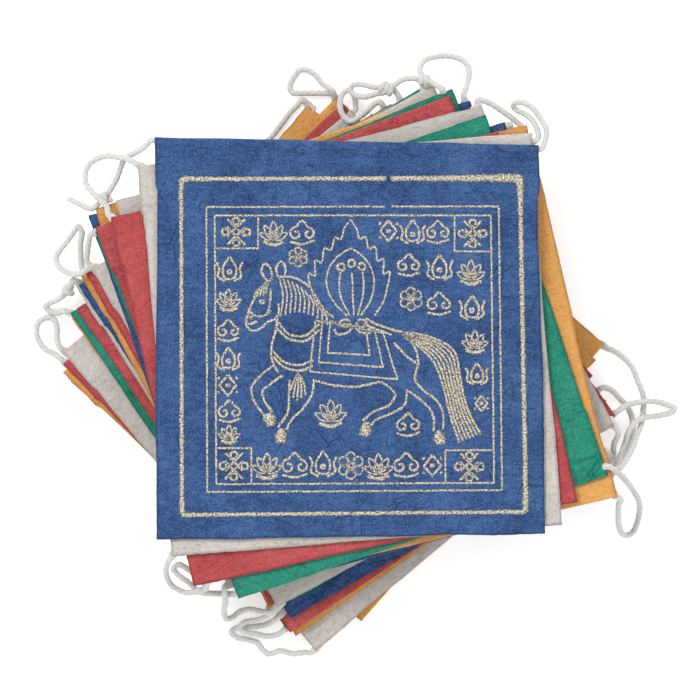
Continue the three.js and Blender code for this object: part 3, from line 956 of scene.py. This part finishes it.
def drawHorse():
    for points in horseLines.values():
        draw(points)
    for ring in blanket:
        draw(ring + ring[:1], ink["fine"], False)
    for top, toe in hooves:
        drawHoof(top, toe)
    for points in jewelLines.values():
        draw(points, ink["fine"])
    for points in bow:
        draw(points)
    draw(ringPoints(-31.6, 13.6, 0.85, squeeze=0.7), ink["fine"])
    draw(ringPoints(-35.6, 8, 0.4), ink["fine"])
    for x, y in ((-2.9, 26.2), (1, 27.6), (4.7, 26.4)):
        draw(ringPoints(x, y, 1.3))
    for k in range(5):  # forelock
        lock = [(-27.4, 21.8), (-29.4 - k * 0.9, 20 - k * 0.5), (-30.2 - k * 1.1, 16.2 - k * 0.3)]
        draw(lock, ink["fine"])
    for k in range(11):  # mane, combed down and back from the crest
        t = k / 10
        rootX, rootY = mix(-25.4, -9.6, t), 22.6 - 12 * t ** 1.9
        long = mix(14.5, 5.4, t)
        draw([
            (rootX, rootY - 0.4), (rootX + 1.4, rootY - long * 0.45), (rootX + 0.6 + t, rootY - long),
        ], ink["fine"])
    for k in range(5):  # tassel on the breast
        out = (k - 2) * 1.5
        draw([(-18.4, -12), (-18.4 + out * 0.7, -16.4), (-18.8 + out, -22.4 + abs(k - 2))], ink["fine"])
    for k in range(7):  # tail, its strands from the inner one to the outer one
        draw([Vector(a).lerp(Vector(b), k / 6) for a, b in zip(tail["inner"], tail["outer"])])


topFrame = sheetFrame(0)
topMesh = sheets[0].data
topSurface = BVHTree.FromPolygons(
    [vertex.co for vertex in topMesh.vertices], [face.vertices for face in topMesh.polygons],
)


def paperTop(x, y):
    # height in mm of the top flag's face
    above = Vector((x * mm, y * mm, 1))
    return topSurface.ray_cast(above, Vector((0, 0, -1)))[0].z / mm


def makePrint():
    drawBorders()
    drawHorse()
    for figure, places in ornaments.items():
        for place in places:
            figure(*place)
    vertices, faces, place, across = [], [], [], []
    startLeft = topFrame["start"][0]
    for path, width in strokes:
        first = len(vertices)
        for k, spot in enumerate(path):
            ahead = (path[min(k + 1, len(path) - 1)] - path[max(k - 1, 0)]).normalized()
            side = Vector((-ahead.y, ahead.x, 0))
            shake = noise.noise(Vector((spot.x / 3, spot.y / 3, 4.2)))
            shakeToo = noise.noise(Vector((spot.x / 3, spot.y / 3, 9.7)))
            wide = width(spot) if callable(width) else width
            uneven = noise.noise(Vector((spot.x / 1.3, spot.y / 1.3, 1.5)))
            uneven += noise.noise(Vector((spot.x / 0.6, spot.y / 0.6, 3.5)))
            half = wide / 2 * (ink["spread"] + ink["uneven"] * uneven)
            x0 = spot.x + ink["middle"][0] + shake * ink["wobble"]
            y0 = spot.y + ink["middle"][1] + shakeToo * ink["wobble"]
            for way in (1, 0, -1):
                x, y = x0 + side.x * half * way, y0 + side.y * half * way
                level = paperTop(x, y) + ink["over"]
                spotOn = Vector((x, y)) - startLeft
                for drop in (0, ink["thick"]):
                    vertices.append(Vector((x, y, level - drop)) * mm)
                    place.append((spotOn.dot(topFrame["across"]), spotOn.dot(topFrame["along"]), 0))
                    across.append(float(way))
        # each ring is left top, left bottom, middle top, middle bottom, right top, right bottom
        for k in range(len(path) - 1):
            a = first + 6 * k
            b = a + 6
            for lane in (0, 2):
                faces.append((a + lane, a + lane + 2, b + lane + 2, b + lane))
                faces.append((a + lane + 1, b + lane + 1, b + lane + 3, a + lane + 3))
            faces.append((a, b, b + 1, a + 1))
            faces.append((a + 4, a + 5, b + 5, b + 4))
        last = first + 6 * (len(path) - 1)
        for lane in (0, 2):
            faces.append((first + lane, first + lane + 1, first + lane + 3, first + lane + 2))
            faces.append((last + lane, last + lane + 2, last + lane + 3, last + lane + 1))
    piece = newPiece("gold_print", vertices, faces, {"sheetPlace": place, "across": across})
    return piece


goldPrint = makePrint()
print("print made:", len(strokes), "strokes")


# materials
def group(name, inputs, outputs):
    tree = bpy.data.node_groups.new(name, "ShaderNodeTree")
    kinds = {"colour": "NodeSocketColor", "number": "NodeSocketFloat", "vector": "NodeSocketVector"}
    for label, kind, value in inputs:
        socket = tree.interface.new_socket(label, in_out="INPUT", socket_type=kinds[kind])
        if value is not None:
            socket.default_value = value
    for label, kind in outputs:
        tree.interface.new_socket(label, in_out="OUTPUT", socket_type=kinds[kind])
    return tree, tree.nodes.new("NodeGroupInput"), tree.nodes.new("NodeGroupOutput")


def feed(tree, socket, value):
    if isinstance(value, bpy.types.NodeSocket):
        tree.links.new(value, socket)
    else:
        socket.default_value = value


def feedAll(tree, node, values):
    for label, value in values.items():
        feed(tree, node.inputs[label], value)


def newNode(tree, kind, values, **settings):
    # a node with its settings, and with values or links at its inputs
    node = tree.nodes.new("ShaderNode" + kind)
    for key, value in settings.items():
        setattr(node, key, value)
    feedAll(tree, node, values)
    return node


def noiseOf(tree, vector, scale, detail=2, rough=0.5, distort=0):
    values = {"Vector": vector, "Scale": scale, "Detail": detail, "Roughness": rough, "Distortion": distort}
    return newNode(tree, "TexNoise", values).outputs["Fac"]


def maths(tree, operation, a, b):
    return newNode(tree, "Math", {0: a, 1: b}, operation=operation).outputs[0]


def times(tree, a, b):
    return maths(tree, "MULTIPLY", a, b)


def ranged(tree, value, low, high, toLow=0.0, toHigh=1.0):
    values = {"Value": value, "From Min": low, "From Max": high, "To Min": toLow, "To Max": toHigh}
    return newNode(tree, "MapRange", values, interpolation_type="SMOOTHSTEP").outputs["Result"]


def blended(tree, share, a, b):
    return newNode(tree, "Mix", {0: share, 6: a, 7: b}, data_type="RGBA").outputs[2]


def stretched(tree, vector, scale, turn=0.0):
    values = {"Vector": vector, "Scale": scale, "Rotation": (0, 0, turn)}
    return newNode(tree, "Mapping", values).outputs["Vector"]


def contourOf(tree, vector, scale, width):
    # thin curling lines, where a slow noise passes its middle
    slow = noiseOf(tree, vector, scale, 1.5, 0.5, 0.6)
    away = maths(tree, "ABSOLUTE", maths(tree, "SUBTRACT", slow, 0.5), 0)
    return ranged(tree, away, 0, width, 1, 0)


def creaseLines(tree, vector, scale, width):
    # straight folds, along the walls between uneven cells
    cells = newNode(tree, "TexVoronoi", {"Vector": vector, "Scale": scale}, feature="DISTANCE_TO_EDGE")
    return ranged(tree, cells.outputs["Distance"], 0, width, 1, 0)


def weighed(tree, parts):
    # a sum of noises, each taken about its middle and multiplied by its weight
    total = 0.0
    for value, weight in parts:
        total = maths(tree, "ADD", total, times(tree, maths(tree, "SUBTRACT", value, 0.5), weight))
    return total


# handmade paper, its places in mm over the sheet
fibre = {
    "cloudy": (0.05, 3, 0.55),  # each noise's scale, detail and roughness
    "mottled": (0.42, 5, 0.62),
    "grain": (1.5, 3, 0.7),
    "pulled": (0.5, 4, 0.6, 0.5),
    "lineWidth": 0.012,
    "foldWidth": 0.022,
    "shade": {"mottled": 1.3, "grain": 3.4, "cloudy": 1.5, "pulled": 0.9},
    "relief": {"mottled": 0.7, "grain": 0.35, "pulled": 0.7},
}
# the fold lines and the crease valleys darken the dye as painted shade
coats = {  # how strongly each covers the dye
    "darker": 0.85, "lighter": 0.65, "fibres": 0.22, "shadedFolds": 0.45,
    "darkSpecks": 0.7, "paleSpecks": 0.6, "edge": 0.45, "creaseShade": 0.8,
}


def paperGroup():
    tree, ins, outs = group(
        "handmade paper",
        [("Place", "vector", None), ("Dye", "colour", (1, 1, 1, 1)), ("Deep", "colour", (0, 0, 0, 1)),
         ("Pale", "colour", (1, 1, 1, 1)), ("Mottle", "number", 1.0), ("Shaded Folds", "number", 1.0),
         ("Rim", "number", 1.0), ("Crease Shade", "number", 0.0)],
        [("Colour", "colour"), ("Height", "number"), ("Roughness", "number")],
    )
    place = ins.outputs["Place"]
    noises = {key: noiseOf(tree, place, *fibre[key]) for key in ("cloudy", "mottled", "grain")}
    noises["pulled"] = noiseOf(tree, stretched(tree, place, (0.35, 1.5, 1), 0.2), *fibre["pulled"])
    turned = stretched(tree, place, (1, 1, 1), 1.1)
    lines = contourOf(tree, place, 0.16, fibre["lineWidth"])
    linesToo = contourOf(tree, turned, 0.24, fibre["lineWidth"])
    some = ranged(tree, noiseOf(tree, place, 0.13, 1), 0.5, 0.62)
    fibres = times(tree, maths(tree, "MAXIMUM", lines, linesToo), some)
    flatCells, tallCells = (0.7, 1.2, 1), (1.3, 0.8, 1)
    # fold lines: they dent the height, and darken the colour along the creases as painted shade
    shadedFolds = creaseLines(tree, stretched(tree, place, flatCells, 0.15), 0.05, fibre["foldWidth"])
    foldsToo = creaseLines(tree, stretched(tree, place, tallCells, 0.7), 0.075, fibre["foldWidth"])
    foldsSome = ranged(tree, noiseOf(tree, place, 0.075, 2), 0.47, 0.6)
    shadedFolds = times(tree, maths(tree, "MAXIMUM", shadedFolds, foldsToo), foldsSome)
    shadedFolds = times(tree, shadedFolds, ins.outputs["Shaded Folds"])
    shade = weighed(tree, [(noises[key], weight) for key, weight in fibre["shade"].items()])
    shade = times(tree, shade, ins.outputs["Mottle"])
    specks = newNode(tree, "TexVoronoi", {"Vector": place, "Scale": 0.35})
    apart = newNode(tree, "SeparateColor", {0: specks.outputs["Color"]})
    dot = ranged(tree, specks.outputs["Distance"], 0.1, 0.05)
    deep, pale = ins.outputs["Deep"], ins.outputs["Pale"]
    # the fold lines and the crease valleys are painted shade; the others are mottling, fibres, specks and a
    # darker rim
    masks = {
        "darker": (ranged(tree, shade, 0.0, -0.6), deep),
        "lighter": (ranged(tree, shade, 0.0, 0.62), pale),
        "fibres": (fibres, pale),
        "shadedFolds": (shadedFolds, deep),
        "darkSpecks": (times(tree, dot, ranged(tree, apart.outputs[0], 0.8, 0.82)), deep),
        "paleSpecks": (times(tree, dot, ranged(tree, apart.outputs[1], 0.86, 0.88)), pale),
        "edge": (ranged(tree, ins.outputs["Rim"], 0.45, 0.0), deep),
        # painted shade in the valleys beside the creases
        "creaseShade": (ins.outputs["Crease Shade"], deep),
    }
    colour = ins.outputs["Dye"]
    for key, (mask, over) in masks.items():
        colour = blended(tree, times(tree, mask, coats[key]), colour, over)
    height = [(noises[key], weight) for key, weight in fibre["relief"].items()]
    height = weighed(tree, height + [(fibres, 0.14)])
    height = maths(tree, "SUBTRACT", height, times(tree, shadedFolds, 0.6))
    feed(tree, outs.inputs["Colour"], colour)
    feed(tree, outs.inputs["Height"], height)
    feed(tree, outs.inputs["Roughness"], ranged(tree, noises["mottled"], 0.2, 0.8, 0.95, 0.78))


def newMaterial(name):
    material = bpy.data.materials.new(name)
    material.use_nodes = True
    tree = material.node_tree
    return material, tree, tree.nodes["Principled BSDF"]


def attributeOf(tree, name, part="Fac"):
    return newNode(tree, "Attribute", {}, attribute_name=name).outputs[part]


def bumped(tree, height, distance, strength):
    values = {"Distance": distance, "Strength": strength, "Height": height}
    return newNode(tree, "Bump", values).outputs["Normal"]


# each paper's colour, its deeper and its paler places, and how strongly it is mottled and creased, the
# creases also darkened with painted shade
dyes = {
    "blue": {
        "dye": (0.033, 0.083, 0.222), "deep": (0.013, 0.033, 0.094), "pale": (0.090, 0.172, 0.350),
        "mottle": 1.1, "shadedFolds": 0.9,
    },
    "white": {
        "dye": (0.540, 0.500, 0.464), "deep": (0.315, 0.285, 0.250), "pale": (0.720, 0.685, 0.645),
        "mottle": 0.62, "shadedFolds": 0.25,
    },
    "red": {
        "dye": (0.425, 0.070, 0.073), "deep": (0.235, 0.024, 0.028), "pale": (0.600, 0.165, 0.165),
        "mottle": 0.7, "shadedFolds": 0.4,
    },
    "green": {
        "dye": (0.018, 0.225, 0.150), "deep": (0.007, 0.095, 0.066), "pale": (0.070, 0.340, 0.240),
        "mottle": 0.75, "shadedFolds": 0.4,
    },
    "yellow": {
        "dye": (0.650, 0.322, 0.092), "deep": (0.390, 0.150, 0.040), "pale": (0.800, 0.470, 0.185),
        "mottle": 0.65, "shadedFolds": 0.35,
    },
}


def placePaper(tree, dye, values):
    node = newNode(tree, "Group", {}, node_tree=bpy.data.node_groups["handmade paper"])
    feedAll(tree, node, {
        "Place": attributeOf(tree, "sheetPlace", "Vector"),
        "Dye": (*dye["dye"], 1), "Deep": (*dye["deep"], 1), "Pale": (*dye["pale"], 1),
        "Mottle": dye["mottle"], "Shaded Folds": dye["shadedFolds"], **values,
    })
    return node


def paperMaterial(colour):
    material, tree, shader = newMaterial("paper " + colour)
    # the rim, and the crease valleys that get painted shade
    edges = {"Rim": attributeOf(tree, "rim"), "Crease Shade": attributeOf(tree, "creaseShade")}
    node = placePaper(tree, dyes[colour], edges)
    feedAll(tree, shader, {
        "Base Color": node.outputs["Colour"],
        "Roughness": node.outputs["Roughness"],
        "Specular IOR Level": 0.22,
        "Normal": bumped(tree, node.outputs["Height"], 0.0008, 0.85),
    })
    return material


gold = {
    "light": (0.70, 0.63, 0.49, 1), "plain": (0.39, 0.345, 0.265, 1), "dark": (0.07, 0.065, 0.055, 1),
}


def goldMaterial():
    # pale gold ink, block printed: granular, and darker towards the sides of each stroke
    material, tree, shader = newMaterial("gold ink")
    node = placePaper(tree, dyes["blue"], {"Rim": 1.0})
    place = attributeOf(tree, "sheetPlace", "Vector")
    inward = maths(tree, "SUBTRACT", 1.0, maths(tree, "ABSOLUTE", attributeOf(tree, "across"), 0))
    grit = noiseOf(tree, place, 1.9, 2, 0.6)
    patches = noiseOf(tree, place, 0.35, 2, 0.5)
    cover = maths(tree, "ADD", inward, weighed(tree, [(grit, 2.2), (patches, 0.8)]))
    inked = ranged(tree, cover, 0.02, 0.14)
    tone = noiseOf(tree, place, 1.5, 3, 0.7)
    colour = blended(tree, ranged(tree, tone, 0.4, 0.48), gold["dark"], gold["plain"])
    colour = blended(tree, ranged(tree, tone, 0.48, 0.57), colour, gold["light"])
    colour = blended(tree, ranged(tree, cover, 0.42, 0.12, 0, 0.85), colour, gold["dark"])
    feedAll(tree, shader, {
        "Base Color": blended(tree, inked, node.outputs["Colour"], colour),
        "Metallic": times(tree, inked, 0.25),
        "Roughness": ranged(tree, inked, 0, 1, 0.88, 0.5),
        "Normal": bumped(tree, maths(tree, "ADD", tone, node.outputs["Height"]), 0.0003, 0.6),
    })
    return material


# the groove colour is painted shade between the plies, and also darkens slow patches at random
cotton = {
    "plain": (0.58, 0.57, 0.55, 1), "groove": (0.44, 0.425, 0.40, 1), "pale": (0.70, 0.695, 0.68, 1),
}


def cottonMaterial():
    material, tree, shader = newMaterial("cotton string")
    coordinates = newNode(tree, "TexCoord", {}).outputs["Object"]
    ply = attributeOf(tree, "groove")
    fluff = noiseOf(tree, coordinates, 1500, 4, 0.6)
    slow = noiseOf(tree, coordinates, 160, 2, 0.5)
    # painted shade: darker in the grooves between the plies
    colour = blended(tree, ranged(tree, ply, 0.0, 0.55), cotton["groove"], cotton["plain"])
    colour = blended(tree, ranged(tree, fluff, 0.45, 0.75), colour, cotton["pale"])
    feedAll(tree, shader, {
        "Base Color": blended(tree, ranged(tree, slow, 0.65, 0.35, 0, 0.25), colour, cotton["groove"]),
        "Roughness": 0.95,
        "Specular IOR Level": 0.15,
        "Sheen Weight": 0.25,
        "Normal": bumped(tree, fluff, 0.0002, 0.6),
    })
    return material


def finishAll():
    paperGroup()
    papers = {colour: paperMaterial(colour) for colour in dyes}
    for order, piece in enumerate(sheets):
        piece.data.materials.append(papers[flagNodes[order].split("_")[-1]])
    goldPrint.data.materials.append(goldMaterial())
    cottonString = cottonMaterial()
    for piece in cords:
        piece.data.materials.append(cottonString)


finishAll()
print("materials made")

# a plain white floor and soft studio light
studio = {
    "floor": 3.0,  # m across
    "key": {"place": (-0.9, 1.1, 1.9), "size": 0.9, "power": 28},
    "fill": {"place": (1.3, -0.9, 1.7), "size": 1.6, "power": 8},
    "sky": 0.86,
    "glow": 0.35,  # the floor's own light, which keeps it white beside the stack
}


def makeStudio():
    bpy.ops.mesh.primitive_plane_add(size=studio["floor"], location=(0, 0, -0.0002))
    floor = bpy.context.object
    floor.name = "floor"
    material, tree, shader = newMaterial("floor")
    feedAll(tree, shader, {
        "Base Color": (0.92, 0.92, 0.92, 1), "Roughness": 0.9, "Specular IOR Level": 0.1,
        "Emission Color": (1, 1, 1, 1), "Emission Strength": studio["glow"],
    })
    floor.data.materials.append(material)
    for name in ("key", "fill"):
        light = studio[name]
        data = bpy.data.lights.new(name, "AREA")
        data.shape = "DISK"
        data.size = light["size"]
        data.energy = light["power"]
        lamp = bpy.data.objects.new(name, data)
        lamp.location = light["place"]
        lamp.rotation_euler = (-Vector(light["place"])).to_track_quat("-Z", "Y").to_euler()
        bpy.context.scene.collection.objects.link(lamp)
    world = bpy.data.worlds.new("studio")
    world.use_nodes = True
    sky = world.node_tree.nodes["Background"]
    feedAll(world.node_tree, sky, {"Color": (1, 1, 1, 1), "Strength": studio["sky"]})
    bpy.context.scene.world = world
    bpy.context.scene.view_settings.view_transform = "Standard"


makeStudio()
print("studio made")
